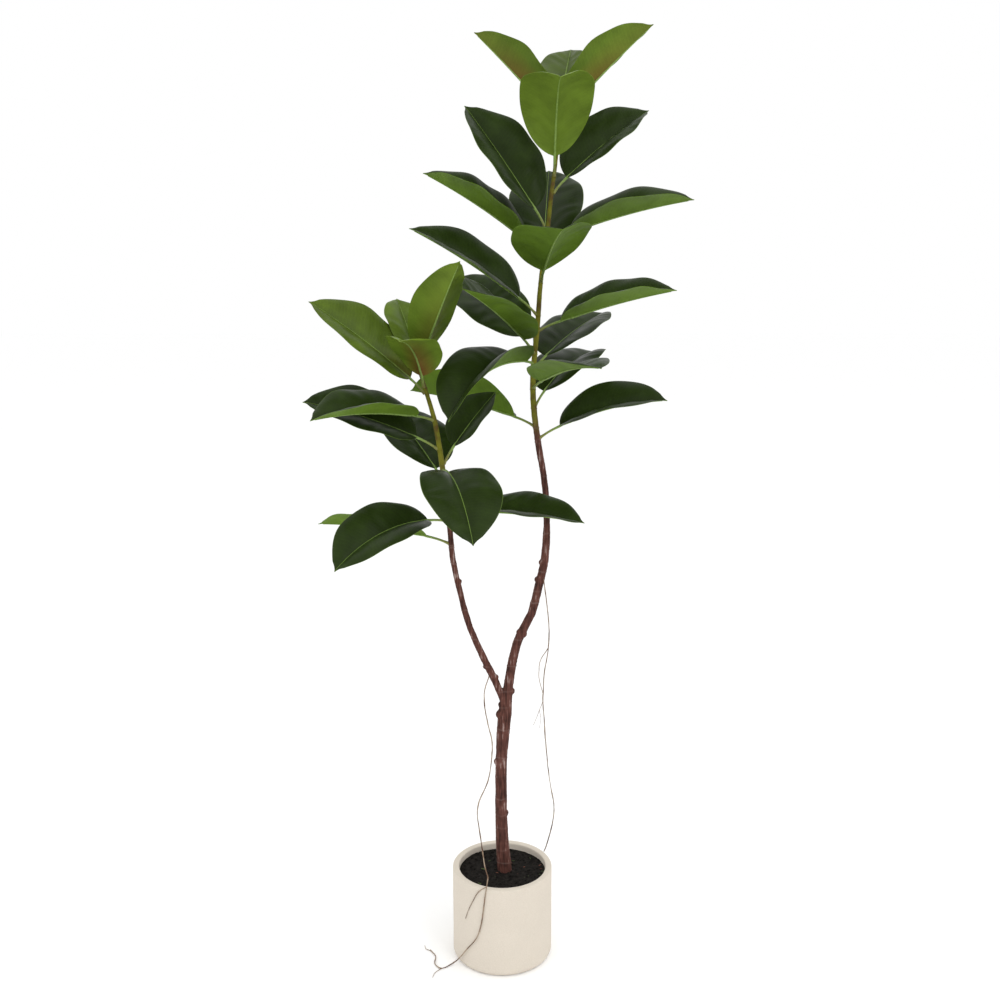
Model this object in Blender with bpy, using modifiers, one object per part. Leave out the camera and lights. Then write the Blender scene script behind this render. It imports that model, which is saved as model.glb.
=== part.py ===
"""Potted rubber plant: a round clay pot, its soil, a forked woody stem, leaves and aerial roots.

The frame is +Z up with the origin at the centre of the pot's underside. Lengths are metres and
angles are degrees. An azimuth is 0 along +X and 90 along +Y.
"""
import math
from collections import namedtuple

import bmesh
import bpy
from mathutils import Vector

COLLECTION = "potted_rubber_plant"
GUIDES = "potted_rubber_plant_cutters"
CLEARANCE = 0.0003            # air left between pieces that touch
MERGE = 0.00001               # points closer than this are one point

# The pot
POT_HEIGHT = 0.160
POT_RADIUS = 0.085
POT_WALL = 0.011
POT_FLOOR = 0.012
POT_RIM_ROUND = 0.0025
POT_FOOT_ROUND = 0.014
POT_SEGMENTS = 48
ARC_STEPS = 4                 # flats in each rounded edge of a turned profile

# The soil
SOIL_BELOW_RIM = 0.010
SOIL_TOP = POT_HEIGHT - SOIL_BELOW_RIM

# The stem: places are (x, y, height above the soil, radius as a share of the trunk's)
TRUNK_RADIUS = 0.0128
TRUNK_DEPTH = 0.050           # how far the trunk goes down into the soil
TRUNK_AT_SOIL = (0.004, 0.0)
STEM_BEVEL = 2
STEM_PER_SPAN = 2             # straight runs between one place on a stem and the next

TALL_STEM = [
    (0.004, 0.000, 0.000, 1.00),
    (0.001, 0.000, 0.035, 0.92),
    (-0.002, 0.000, 0.110, 0.80),
    (-0.002, 0.000, 0.185, 0.77),
    (0.000, 0.000, 0.235, 0.84),
    (0.004, 0.000, 0.285, 0.92),
    (0.010, 0.000, 0.335, 0.64),
    (0.018, 0.000, 0.385, 0.60),
    (0.030, 0.000, 0.425, 0.58),
    (0.048, 0.000, 0.460, 0.56),
    (0.059, 0.003, 0.505, 0.56),
    (0.069, 0.006, 0.550, 0.54),
    (0.072, 0.008, 0.600, 0.48),
    (0.071, 0.010, 0.645, 0.44),
    (0.066, 0.010, 0.690, 0.42),
    (0.058, 0.010, 0.735, 0.42),
    (0.051, 0.010, 0.785, 0.40),
    (0.048, 0.012, 0.830, 0.38),
    (0.050, 0.014, 0.875, 0.36),
    (0.055, 0.016, 0.925, 0.34),
    (0.058, 0.018, 0.975, 0.32),
    (0.063, 0.020, 1.025, 0.30),
    (0.070, 0.020, 1.075, 0.30),
    (0.075, 0.020, 1.125, 0.28),
    (0.081, 0.020, 1.170, 0.25),
    (0.085, 0.020, 1.220, 0.22),
    (0.086, 0.020, 1.262, 0.14),
]
SHORT_STEM = [
    (0.006, 0.000, 0.295, 0.40),
    (-0.005, -0.004, 0.328, 0.50),
    (-0.017, -0.008, 0.357, 0.50),
    (-0.033, -0.012, 0.392, 0.46),
    (-0.053, -0.018, 0.442, 0.42),
    (-0.068, -0.020, 0.500, 0.40),
    (-0.080, -0.022, 0.560, 0.38),
    (-0.085, -0.025, 0.625, 0.38),
    (-0.091, -0.029, 0.680, 0.38),
    (-0.098, -0.031, 0.735, 0.36),
    (-0.106, -0.034, 0.785, 0.32),
    (-0.118, -0.038, 0.828, 0.28),
    (-0.126, -0.041, 0.856, 0.24),
    (-0.130, -0.042, 0.880, 0.15),
]
# Woody knots: (stem, height above the soil, side it grows on as an azimuth, radius)
KNOTS = [
    ("tall", 0.105, 20, 0.0072),
    ("tall", 0.200, 190, 0.0070),
    ("tall", 0.285, 200, 0.0085),
    ("tall", 0.302, 190, 0.0065),
    ("tall", 0.325, 10, 0.0070),
    ("tall", 0.425, 345, 0.0065),
    ("tall", 0.428, 180, 0.0050),
    ("tall", 0.517, 185, 0.0060),
    ("tall", 0.545, 175, 0.0050),
    ("short", 0.352, 20, 0.0052),
    ("short", 0.372, 200, 0.0050),
    ("short", 0.520, 15, 0.0045),
]
KNOT_OUT = 0.62               # how far a knot's centre lies out from the stem's, in stem radii

# The leaves
LEAF_THICKNESS = 0.0011
MIDRIB_DEPTH = 0.0012         # how far the midrib stands out under the blade
PETIOLE_RADIUS = 0.0019
PETIOLE_FOOT_RADIUS = 0.0026
PETIOLE_RISE = 12             # degrees that a petiole stands steeper than its blade's start
BLADE_STATIONS = [0.03, 0.10, 0.20, 0.34, 0.50, 0.66, 0.80, 0.90, 0.965]
RING = 8                      # points round each section of a leaf
CAMBER = 0.035                # crown of each half of a blade, as a share of its half width

# height: where the leaf leaves the stem, above the soil. azimuth: the way it points.
# lift and droop: slope of the blade where it starts, and how much it bends down to its tip.
# roll: how far its right edge is turned up. fold: how far each half rises from the midrib.
Leaf = namedtuple("Leaf", "height azimuth lift droop roll fold length width petiole")

TALL_LEAVES = [
    Leaf(0.750, 352, 27, 25, -20, 25, 0.175, 0.110, 0.035),
    Leaf(0.770, 150, 15, 12, -38, 34, 0.205, 0.112, 0.035),
    Leaf(0.800, 58, 33, 35, 0, 15, 0.195, 0.110, 0.035),
    Leaf(0.830, 293, 20, 20, 0, 15, 0.200, 0.106, 0.030),
    Leaf(0.860, 54, 27, 15, 0, 15, 0.190, 0.115, 0.035),
    Leaf(0.868, 230, 9, 64, -3, 32, 0.208, 0.125, 0.014),
    Leaf(0.885, 133, 38, 20, 25, 15, 0.190, 0.110, 0.035),
    Leaf(0.885, 237, 33, 15, 25, 25, 0.185, 0.115, 0.035),
    Leaf(0.920, 350, 20, 10, -11, 32, 0.185, 0.110, 0.035),
    Leaf(0.945, 185, 38, 12, 25, 25, 0.200, 0.110, 0.035),
    Leaf(0.995, 276, 27, 20, -3, 22, 0.190, 0.125, 0.030),
    Leaf(1.035, 185, 38, 12, 12, 34, 0.184, 0.112, 0.035),
    Leaf(1.055, 350, 20, 12, -11, 32, 0.195, 0.115, 0.035),
    Leaf(1.025, 85, 45, 10, 0, 15, 0.195, 0.125, 0.035),
    Leaf(1.075, 160, 56, 5, 29, 26, 0.195, 0.122, 0.035),
    Leaf(1.130, 15, 43, 10, -29, 26, 0.168, 0.115, 0.030),
    Leaf(1.155, 270, 66, 72, 0, 22, 0.190, 0.118, 0.028),
    Leaf(1.232, 185, 47, 5, -26, 40, 0.158, 0.084, 0.020),
    Leaf(1.236, 345, 45, 5, 26, 40, 0.168, 0.092, 0.020),
    Leaf(1.247, 80, 43, 10, 0, 15, 0.165, 0.090, 0.020),
]
SHORT_LEAVES = [
    Leaf(0.585, 175, 13, 15, -20, 20, 0.178, 0.095, 0.035),
    Leaf(0.622, 218, 6, 48, 20, 20, 0.184, 0.110, 0.035),
    Leaf(0.636, 345, 2, 10, -10, 22, 0.180, 0.106, 0.035),
    Leaf(0.685, 120, 30, 12, 0, 15, 0.190, 0.122, 0.030),
    Leaf(0.705, 285, 0, 50, 0, 15, 0.190, 0.122, 0.030),
    Leaf(0.715, 30, 52, 10, -18, 25, 0.112, 0.078, 0.030),
    Leaf(0.740, 188, 26, 15, 30, 20, 0.183, 0.110, 0.035),
    Leaf(0.785, 216, 12, 20, 8, 30, 0.180, 0.110, 0.030),
    Leaf(0.828, 189, 43, 10, 35, 20, 0.190, 0.110, 0.030),
    Leaf(0.872, 112, 46, 10, -10, 15, 0.122, 0.080, 0.020),
    Leaf(0.838, 257, 58, 58, 4, 16, 0.126, 0.086, 0.018),
    Leaf(0.868, 307, 57, 5, 8, 30, 0.170, 0.088, 0.020),
]

# The aerial roots: starts are (height on the stem above the soil, azimuth of its side), and
# places in the air are (x, y, height above the soil)
SHORT_STEM_ROOT_RADIUS = 0.0011
TALL_STEM_ROOT_RADIUS = 0.0010
SHORT_STEM_ROOT_START = (0.358, 240)
TALL_STEM_ROOT_START = (0.520, 300)
ROOT_BEVEL = 2
ROOT_PER_SPAN = 4
SHORT_STEM_ROOT = [
    (-0.029, -0.020, 0.335),
    (-0.029, -0.022, 0.305),
    (-0.024, -0.022, 0.275),
    (-0.017, -0.024, 0.245),
    (-0.018, -0.028, 0.215),
    (-0.024, -0.032, 0.180),
    (-0.037, -0.038, 0.150),
    (-0.042, -0.046, 0.125),
    (-0.036, -0.056, 0.090),
    (-0.030, -0.068, 0.050),
]
TALL_STEM_ROOT = [
    (0.072, -0.010, 0.480),
    (0.076, -0.008, 0.440),
    (0.076, -0.004, 0.405),
    (0.070, 0.000, 0.360),
    (0.068, 0.004, 0.300),
    (0.072, 0.010, 0.250),
    (0.076, 0.016, 0.200),
    (0.082, 0.024, 0.150),
    (0.090, 0.032, 0.100),
    (0.086, 0.036, 0.060),
]


def rad(degrees):
    return math.radians(degrees)


def heading(azimuth, elevation):
    """The unit vector that points along an azimuth at an elevation."""
    flat = math.cos(rad(elevation))
    return Vector((math.cos(rad(azimuth)) * flat, math.sin(rad(azimuth)) * flat, math.sin(rad(elevation))))


def clear_scene():
    for obj in list(bpy.data.objects):
        bpy.data.objects.remove(obj, do_unlink=True)


def make_collection(name):
    collection = bpy.data.collections.new(name)
    bpy.context.scene.collection.children.link(collection)
    return collection


def material(name, colour, roughness):
    made = bpy.data.materials.new(name)
    made.use_nodes = True
    shader = made.node_tree.nodes["Principled BSDF"]
    shader.inputs["Base Color"].default_value = (*colour, 1.0)
    shader.inputs["Roughness"].default_value = roughness
    shader.inputs["Metallic"].default_value = 0.0
    return made


def link_mesh(name, mesh, collection, finish=None):
    obj = bpy.data.objects.new(name, mesh)
    collection.objects.link(obj)
    if finish:
        mesh.materials.clear()
        mesh.materials.append(finish)
    return obj


def apply_modifiers(obj):
    """Replaces the object's mesh with the one its modifiers give."""
    bpy.context.view_layer.update()
    evaluated = obj.evaluated_get(bpy.context.evaluated_depsgraph_get())
    obj.data = bpy.data.meshes.new_from_object(evaluated)
    obj.modifiers.clear()


# ---------------------------------------------------------------- turned pieces

def arc(centre_x, centre_z, radius, start, end):
    """Points of a rounded edge in a turned profile."""
    turns = [start + (end - start) * step / ARC_STEPS for step in range(ARC_STEPS + 1)]
    return [(centre_x + radius * math.cos(rad(a)), centre_z + radius * math.sin(rad(a))) for a in turns]


def turned(name, profile, collection, finish=None):
    """A solid turned round Z from a profile that runs down its outer side."""
    mesh = bpy.data.meshes.new(name)
    points = [(x, 0.0, z) for x, z in profile]
    mesh.from_pydata(points, [(i, i + 1) for i in range(len(points) - 1)], [])
    obj = link_mesh(name, mesh, collection, finish)
    screw = obj.modifiers.new("turn", "SCREW")
    screw.steps = POT_SEGMENTS
    screw.render_steps = POT_SEGMENTS
    screw.use_merge_vertices = True
    screw.merge_threshold = MERGE
    apply_modifiers(obj)
    obj.data.shade_smooth()
    obj.data.set_sharp_from_angle(angle=rad(35))
    return obj


def build_pot(collection, finish):
    inner = POT_RADIUS - POT_WALL
    rim = POT_RIM_ROUND
    foot = POT_FOOT_ROUND
    profile = [(0.0, POT_FLOOR)]
    profile += [(inner, POT_FLOOR)]
    profile += arc(inner + rim, POT_HEIGHT - rim, rim, 180, 90)
    profile += arc(POT_RADIUS - rim, POT_HEIGHT - rim, rim, 90, 0)
    profile += arc(POT_RADIUS - foot, foot, foot, 0, -90)
    profile += [(0.0, 0.0)]
    return turned("pot", profile, collection, finish)


def build_soil(collection, cutters, finish):
    outer = POT_RADIUS - POT_WALL - CLEARANCE
    bottom = POT_FLOOR + CLEARANCE
    soil = turned("soil", [(0.0, SOIL_TOP), (outer, SOIL_TOP), (outer, bottom), (0.0, bottom)], collection, finish)
    hole_depth = TRUNK_DEPTH + CLEARANCE
    above = 0.01
    bpy.ops.mesh.primitive_cylinder_add(
        vertices=32,
        radius=(TRUNK_RADIUS + CLEARANCE) / math.cos(math.pi / 32),
        depth=hole_depth + above,
        location=(*TRUNK_AT_SOIL, SOIL_TOP + above - (hole_depth + above) / 2),
    )
    cutter = bpy.context.object
    cutter.name = "trunk_hole_cutter"
    move_to(cutter, cutters)
    cutter.hide_render = True
    cutter.display_type = "WIRE"
    cut = soil.modifiers.new("trunk_hole", "BOOLEAN")
    cut.operation = "DIFFERENCE"
    cut.solver = "EXACT"
    cut.object = cutter
    return soil


def move_to(obj, collection):
    for old in list(obj.users_collection):
        old.objects.unlink(obj)
    collection.objects.link(obj)


# ---------------------------------------------------------------- stems and roots

def smooth_route(points, per_span):
    """Points on a smooth curve through the given ones, each (x, y, z, radius)."""
    rows = [Vector(p[:3]) for p in points]
    sizes = [p[3] for p in points]
    route = []
    for i in range(len(rows) - 1):
        before = rows[max(i - 1, 0)]
        after = rows[min(i + 2, len(rows) - 1)]
        a, b = rows[i], rows[i + 1]
        for k in range(per_span):
            t = k / per_span
            place = 0.5 * (
                2 * a
                + (b - before) * t
                + (2 * before - 5 * a + 4 * b - after) * t ** 2
                + (3 * a - before - 3 * b + after) * t ** 3
            )
            route.append((place, sizes[i] + (sizes[i + 1] - sizes[i]) * t))
    route.append((rows[-1], sizes[-1]))
    return route


def tube(name, route, bevel, collection):
    """A closed round tube along a route of (place, radius) as a mesh object."""
    curve = bpy.data.curves.new(name, "CURVE")
    curve.dimensions = "3D"
    curve.bevel_depth = 1.0
    curve.bevel_resolution = bevel
    curve.use_fill_caps = True
    spline = curve.splines.new("POLY")
    spline.points.add(len(route) - 1)
    for point, (place, radius) in zip(spline.points, route):
        point.co = (*place, 1.0)
        point.radius = radius
    wire = bpy.data.objects.new(name + "_curve", curve)
    collection.objects.link(wire)
    bpy.context.view_layer.update()
    mesh = bpy.data.meshes.new_from_object(wire.evaluated_get(bpy.context.evaluated_depsgraph_get()))
    matrix = wire.matrix_world.copy()
    bpy.data.objects.remove(wire)
    body = bmesh.new()
    body.from_mesh(mesh)
    bmesh.ops.remove_doubles(body, verts=body.verts, dist=MERGE)
    bmesh.ops.recalc_face_normals(body, faces=body.faces)
    body.to_mesh(mesh)
    body.free()
    mesh.shade_smooth()
    obj = link_mesh(name, mesh, collection)
    obj.matrix_world = matrix
    return obj


def stem_route(points):
    placed = [(x, y, SOIL_TOP + height, share * TRUNK_RADIUS) for x, y, height, share in points]
    return smooth_route(placed, STEM_PER_SPAN)


def stem_place(route, height):
    """The stem's centre, direction and radius at a height above the soil."""
    level = SOIL_TOP + height
    for (a, size_a), (b, size_b) in zip(route, route[1:]):
        if a.z <= level <= b.z:
            t = (level - a.z) / (b.z - a.z)
            return a.lerp(b, t), (b - a).normalized(), size_a + (size_b - size_a) * t
    (a, _), (b, size) = route[-2:]
    return b, (b - a).normalized(), size


def join_to(target, piece, cutters):
    piece.hide_render = True
    piece.display_type = "WIRE"
    move_to(piece, cutters)
    union = target.modifiers.new(piece.name, "BOOLEAN")
    union.operation = "UNION"
    union.solver = "EXACT"
    union.object = piece


def build_trunk(routes, collection, cutters, finish):
    foot = Vector((*TRUNK_AT_SOIL, SOIL_TOP - TRUNK_DEPTH))
    trunk = tube("trunk", [(foot, TRUNK_RADIUS)] + routes["tall"], STEM_BEVEL, collection)
    trunk.data.materials.append(finish)
    join_to(trunk, tube("short_stem_union", routes["short"], STEM_BEVEL, cutters), cutters)
    for number, (stem, height, azimuth, radius) in enumerate(KNOTS, 1):
        centre, _, stem_radius = stem_place(routes[stem], height)
        place = centre + heading(azimuth, 0) * stem_radius * KNOT_OUT
        bpy.ops.mesh.primitive_ico_sphere_add(subdivisions=2, radius=radius, location=place)
        knot = bpy.context.object
        knot.name = f"knot_union_{number:02d}"
        join_to(trunk, knot, cutters)
    apply_modifiers(trunk)
    trunk.data.shade_smooth()
    return trunk


def from_pot(point):
    """The place of a point given as azimuth round the pot, distance out from its wall and height."""
    azimuth, out, height = point
    return heading(azimuth, 0) * (POT_RADIUS + out) + Vector((0, 0, height))


def root_start(stem, start, radius):
    """The place where a root's middle leaves the stem, with the root just off the bark."""
    height, azimuth = start
    centre, _, stem_radius = stem_place(stem, height)
    return centre + heading(azimuth, 0) * (stem_radius + radius + CLEARANCE)


def root_route(start, above, round_pot):
    """A root's places: free in the air first, then round the pot so that they keep off its wall."""
    air = [(*start, 0.0)] + [(x, y, SOIL_TOP + height, 0.0) for x, y, height in above]
    meeting = from_pot(round_pot[0])
    air.append((*meeting, 0.0))
    route = [place for place, _ in smooth_route(air, ROOT_PER_SPAN)]
    turns = [(*point, 0.0) for point in round_pot]
    route += [from_pot(place) for place, _ in smooth_route(turns, ROOT_PER_SPAN)][1:]
    return route


def build_root(name, radius, route, collection, finish):
    obj = tube(name, [(place, radius) for place in route], ROOT_BEVEL, collection)
    obj.data.materials.append(finish)
    return obj


def build_roots(routes, collection, finish):
    rest = SHORT_STEM_ROOT_RADIUS + 2 * CLEARANCE
    over_rim = [
        (252, -0.008, POT_HEIGHT + 0.018),
        (252, 0.001, POT_HEIGHT + rest),
        (251, rest, POT_HEIGHT - 0.008),
        (249, rest, POT_HEIGHT * 0.80),
        (246, rest, POT_HEIGHT * 0.60),
        (240, rest + 0.0005, POT_HEIGHT * 0.42),
        (228, rest + 0.0015, POT_HEIGHT * 0.26),
        (217, rest + 0.0035, POT_HEIGHT * 0.11),
        (210, 0.013, rest + 0.0012),
        (211, 0.034, rest),
        (203, 0.040, rest),
        (193, 0.033, rest),
        (184, 0.041, rest),
    ]
    short_start = root_start(routes["short"], SHORT_STEM_ROOT_START, SHORT_STEM_ROOT_RADIUS)
    short_route = root_route(short_start, SHORT_STEM_ROOT, over_rim)
    build_root("short_stem_root", SHORT_STEM_ROOT_RADIUS, short_route, collection, finish)
    tall_start = root_start(routes["tall"], TALL_STEM_ROOT_START, TALL_STEM_ROOT_RADIUS)
    into_pot = [(25, -0.001, POT_HEIGHT + 0.012), (26, -0.004, POT_HEIGHT + 0.004)]
    tall_route = root_route(tall_start, TALL_STEM_ROOT, into_pot)
    build_root("tall_stem_root", TALL_STEM_ROOT_RADIUS, tall_route, collection, finish)


# ---------------------------------------------------------------- leaves

def half_width(t):
    """A blade's half width at a share of its length, as a share of its greatest half width."""
    if t < 0.5:
        return (1 - ((0.5 - t) / 0.5) ** 2.4) ** 0.6
    return 1 - ((t - 0.5) / 0.5) ** 2.2


def leaf_axes(leaf, elevation):
    """The along, right and up directions of a leaf's section at an elevation."""
    along = heading(leaf.azimuth, elevation)
    level_right = heading(leaf.azimuth - 90, 0)
    level_up = level_right.cross(along)
    right = level_right * math.cos(rad(leaf.roll)) + level_up * math.sin(rad(leaf.roll))
    return along, right, right.cross(along)


def round_section(centre, right, up, radius):
    """Eight points round a petiole, starting at its right side and going over its top."""
    turns = [rad(360 * k / RING) for k in range(RING)]
    return [centre + right * math.cos(a) * radius + up * math.sin(a) * radius for a in turns]


def blade_section(leaf, centre, right, up, t):
    """Eight points round a blade: edges that meet thin, two crowned halves and the midrib under them."""
    half = leaf.width / 2 * half_width(t)
    out = right * math.cos(rad(leaf.fold)) * half
    rise = up * math.sin(rad(leaf.fold)) * half
    crown = up * CAMBER * half
    skin = up * LEAF_THICKNESS / 2
    keel = skin + up * MIDRIB_DEPTH * (1 - t)
    right_mid = centre + (out + rise) / 2 + crown
    left_mid = centre + (rise - out) / 2 + crown
    return [
        centre + out + rise,
        right_mid + skin,
        centre + skin,
        left_mid + skin,
        centre - out + rise,
        left_mid - skin,
        centre - keel,
        right_mid - skin,
    ]


def leaf_sections(leaf, route):
    """The sections of one leaf from its foot on the stem to its tip, and the two end points."""
    centre, stem_up, stem_radius = stem_place(route, leaf.height)
    flat = heading(leaf.azimuth, 0)
    outward = (flat - stem_up * flat.dot(stem_up)).normalized()
    foot = centre + outward * (stem_radius + 1.5 * CLEARANCE)   # the stem is faceted, so a little more
    foot_right = outward.cross(stem_up)
    sections = [round_section(foot, foot_right, stem_up, PETIOLE_FOOT_RADIUS)]

    rise = min(leaf.lift + PETIOLE_RISE, 72)
    place = foot
    petiole_steps = 3
    for k in range(1, petiole_steps + 1):
        along, right, up = leaf_axes(leaf, rise + (leaf.lift - rise) * k / petiole_steps)
        place = place + along * leaf.petiole / petiole_steps
        sections.append(round_section(place, right, up, PETIOLE_RADIUS))

    last = 0.0
    for t in BLADE_STATIONS + [1.0]:
        slope = leaf.lift - leaf.droop * (last + t) / 2
        place = place + leaf_axes(leaf, slope)[0] * leaf.length * (t - last)
        _, right, up = leaf_axes(leaf, leaf.lift - leaf.droop * t)
        if t < 1.0:
            sections.append(blade_section(leaf, place, right, up, t))
        last = t
    return foot, sections, place


def loft(name, start, sections, end, collection, finish):
    """A closed body through sections with the same number of points, with a point at each end."""
    body = bmesh.new()
    rings = [[body.verts.new(point) for point in section] for section in sections]
    first = body.verts.new(start)
    last = body.verts.new(end)
    for k in range(RING):
        after = (k + 1) % RING
        body.faces.new((first, rings[0][k], rings[0][after]))
        for ring, following in zip(rings, rings[1:]):
            body.faces.new((ring[k], following[k], following[after], ring[after]))
        body.faces.new((last, rings[-1][after], rings[-1][k]))
    bmesh.ops.triangulate(body, faces=body.faces)
    bmesh.ops.recalc_face_normals(body, faces=body.faces)
    mesh = bpy.data.meshes.new(name)
    body.to_mesh(mesh)
    body.free()
    mesh.shade_smooth()
    mesh.set_sharp_from_angle(angle=rad(60))
    return link_mesh(name, mesh, collection, finish)


def build_leaves(name, leaves, route, collection, finish):
    for number, leaf in enumerate(leaves, 1):
        start, sections, end = leaf_sections(leaf, route)
        loft(f"{name}_{number:02d}", start, sections, end, collection, finish)


def main():
    clear_scene()
    parts = make_collection(COLLECTION)
    cutters = make_collection(GUIDES)
    clay = material("cream_clay", (0.77, 0.70, 0.61), 0.75)
    soil = material("potting_soil", (0.016, 0.014, 0.012), 0.95)
    bark = material("brown_bark", (0.10, 0.038, 0.032), 0.80)
    leaf = material("leaf_green", (0.030, 0.055, 0.018), 0.35)
    root = material("root_brown", (0.12, 0.060, 0.040), 0.85)

    routes = {"tall": stem_route(TALL_STEM), "short": stem_route(SHORT_STEM)}
    build_pot(parts, clay)
    build_soil(parts, cutters, soil)
    build_trunk(routes, parts, cutters, bark)
    build_leaves("tall_stem_leaf", TALL_LEAVES, routes["tall"], parts, leaf)
    build_leaves("short_stem_leaf", SHORT_LEAVES, routes["short"], parts, leaf)
    build_roots(routes, parts, root)


main()
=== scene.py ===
"""Potted rubber plant: the looks of its clay pot, soil, bark, leaves and aerial roots.

Lengths are metres, +Z is up and the origin is the centre of the pot's underside.
"""

import math
import random
from collections import namedtuple

import bmesh
import bpy
import numpy as np
from bpy.props import FloatProperty, FloatVectorProperty, IntProperty, PointerProperty
from bpy.types import Operator, Panel, PropertyGroup
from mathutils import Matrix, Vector, noise
from mathutils.bvhtree import BVHTree


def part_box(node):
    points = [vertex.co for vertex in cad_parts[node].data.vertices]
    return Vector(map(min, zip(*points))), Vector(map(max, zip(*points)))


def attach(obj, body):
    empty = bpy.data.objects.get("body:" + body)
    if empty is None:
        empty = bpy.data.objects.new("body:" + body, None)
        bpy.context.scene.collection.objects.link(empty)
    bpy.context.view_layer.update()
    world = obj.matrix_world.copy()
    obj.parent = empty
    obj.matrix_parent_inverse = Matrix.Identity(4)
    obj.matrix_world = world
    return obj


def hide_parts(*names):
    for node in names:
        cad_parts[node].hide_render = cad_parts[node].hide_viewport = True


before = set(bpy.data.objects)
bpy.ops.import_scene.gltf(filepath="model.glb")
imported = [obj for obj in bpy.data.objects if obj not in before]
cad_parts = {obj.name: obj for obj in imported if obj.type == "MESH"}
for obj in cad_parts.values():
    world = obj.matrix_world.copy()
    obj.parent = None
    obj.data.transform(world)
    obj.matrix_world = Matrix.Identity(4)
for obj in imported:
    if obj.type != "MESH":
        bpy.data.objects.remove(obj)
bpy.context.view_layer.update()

bl_info = {
    "name": "Potted Rubber Plant",
    "version": (1, 0, 0),
    "blender": (4, 5, 0),
    "location": "View3D > Sidebar > Rubber Plant",
    "description": "Builds a rubber plant with two stems in a clay pot around its packed frame",
    "category": "Object",
}

MERGE = 0.00001  # points closer than this are one point
SAME_PLACE = 0.0001  # two places nearer than this count as the same when faces are picked
LEAF_NODES = sorted(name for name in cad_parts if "_leaf_" in name)
# The young leaves at the two tips, each with its share of red-brown flush and its own brightness
YOUNG_LEAVES = {
    "tall_stem_leaf_17": (0.0, 1.05), "tall_stem_leaf_18": (1.1, 0.80), "tall_stem_leaf_19": (1.0, 0.92),
    "tall_stem_leaf_20": (0.0, 0.45), "short_stem_leaf_09": (0.9, 0.60), "short_stem_leaf_10": (0.1, 0.80),
    "short_stem_leaf_11": (1.0, 1.18), "short_stem_leaf_12": (0.35, 0.96),
}


def linear(hex_text):
    """An sRGB hex colour as linear red, green, blue and alpha."""
    parts = [int(hex_text[i:i + 2], 16) / 255 for i in (1, 3, 5)]
    return tuple(c / 12.92 if c <= 0.04045 else ((c + 0.055) / 1.055) ** 2.4 for c in parts) + (1.0,)


# ---------------------------------------------------------------- settings

def length(name, description, default, low=0.0, high=1.0):
    return FloatProperty(name=name, description=description, default=default, min=low, max=high,
                         unit="LENGTH", precision=4)


def swatch(name, description, hex_text):
    return FloatVectorProperty(name=name, description=description, default=linear(hex_text)[:3],
                               size=3, min=0.0, max=1.0, subtype="COLOR")


class ClayPotSettings(PropertyGroup):
    wall: length("Wall", "Thickness of the pot's wall", 0.0110)
    floor: length("Floor", "Thickness of the pot's floor", 0.0120)
    rim_round: length("Rim round", "Radius of both edges of the rim", 0.0025)
    foot_round: length("Foot round", "Radius of the edge round the foot", 0.0100)
    unevenness: length("Unevenness", "How far the cast wall strays from round", 0.00035, 0.0, 0.003)
    clay: swatch("Clay", "Colour of the matt clay", "#D4CBBE")


class SoilSettings(PropertyGroup):
    lumps: length("Lumps", "Height of the lumps in the soil's top", 0.0024, 0.0, 0.01)
    crumbs: IntProperty(name="Crumbs", description="Loose crumbs lying on the soil", default=620,
                        min=0, max=3000)
    peat: swatch("Peat", "Colour of the moist peat", "#211E1B")


class StemSettings(PropertyGroup):
    voxel: length("Detail", "Size of the cells that the bark is rebuilt from", 0.0011, 0.0006, 0.004)
    wrinkle: length("Wrinkles", "Depth of the long wrinkles in the bark", 0.00055, 0.0, 0.003)
    scar: length("Scars", "Height of the rings left by old leaves", 0.0006, 0.0, 0.003)
    bark: swatch("Bark", "Colour of the old bark", "#50322B")
    shoot: swatch("Shoot", "Colour of the young green stem", "#74731F")


class LeafSettings(PropertyGroup):
    thickness: length("Thickness", "Thickness of a blade", 0.0009, 0.0003, 0.003)
    wave: length("Wave", "How far the edge of a blade waves up and down", 0.0016, 0.0, 0.01)
    ripple: length("Ripple", "Height of the broad ripples that cross each half", 0.00045, 0.0, 0.003)
    upper: swatch("Upper side", "Colour of an old leaf's upper side", "#24320F")
    under: swatch("Underside", "Colour of an old leaf's underside", "#56701F")
    young: swatch("Young leaf", "Colour of a young leaf", "#617824")
    stalk: swatch("Stalk", "Colour of the leaf stalks and midribs", "#7F9A4C")


class RootSettings(PropertyGroup):
    wander: length("Wander", "How far the roots stray from a smooth line", 0.0009, 0.0, 0.004)
    skin: swatch("Skin", "Colour of the dry root skin", "#7B6553")


class StageSettings(PropertyGroup):
    floor: swatch("Floor", "Colour of the studio floor", "#FFFFFF")
    sky: FloatProperty(name="Surround", description="Brightness of the white surround", default=1.0,
                       min=0.0, max=5.0)


# ---------------------------------------------------------------- tools

def deselect():
    bpy.ops.object.select_all(action="DESELECT")


def pick(obj):
    """Makes the object the only one that is selected, and the active one."""
    deselect()
    obj.select_set(True)
    bpy.context.view_layer.objects.active = obj


def apply_all(obj):
    pick(obj)
    for modifier in list(obj.modifiers):
        bpy.ops.object.modifier_apply(modifier=modifier.name)


def place_in_mesh(obj):
    """Puts the object at the origin, unturned and unscaled, with its place in its mesh."""
    pick(obj)
    bpy.ops.object.transform_apply(location=True, rotation=True, scale=True)


def join(target, pieces):
    pick(target)
    for piece in pieces:
        piece.select_set(True)
    bpy.ops.object.join()


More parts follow.
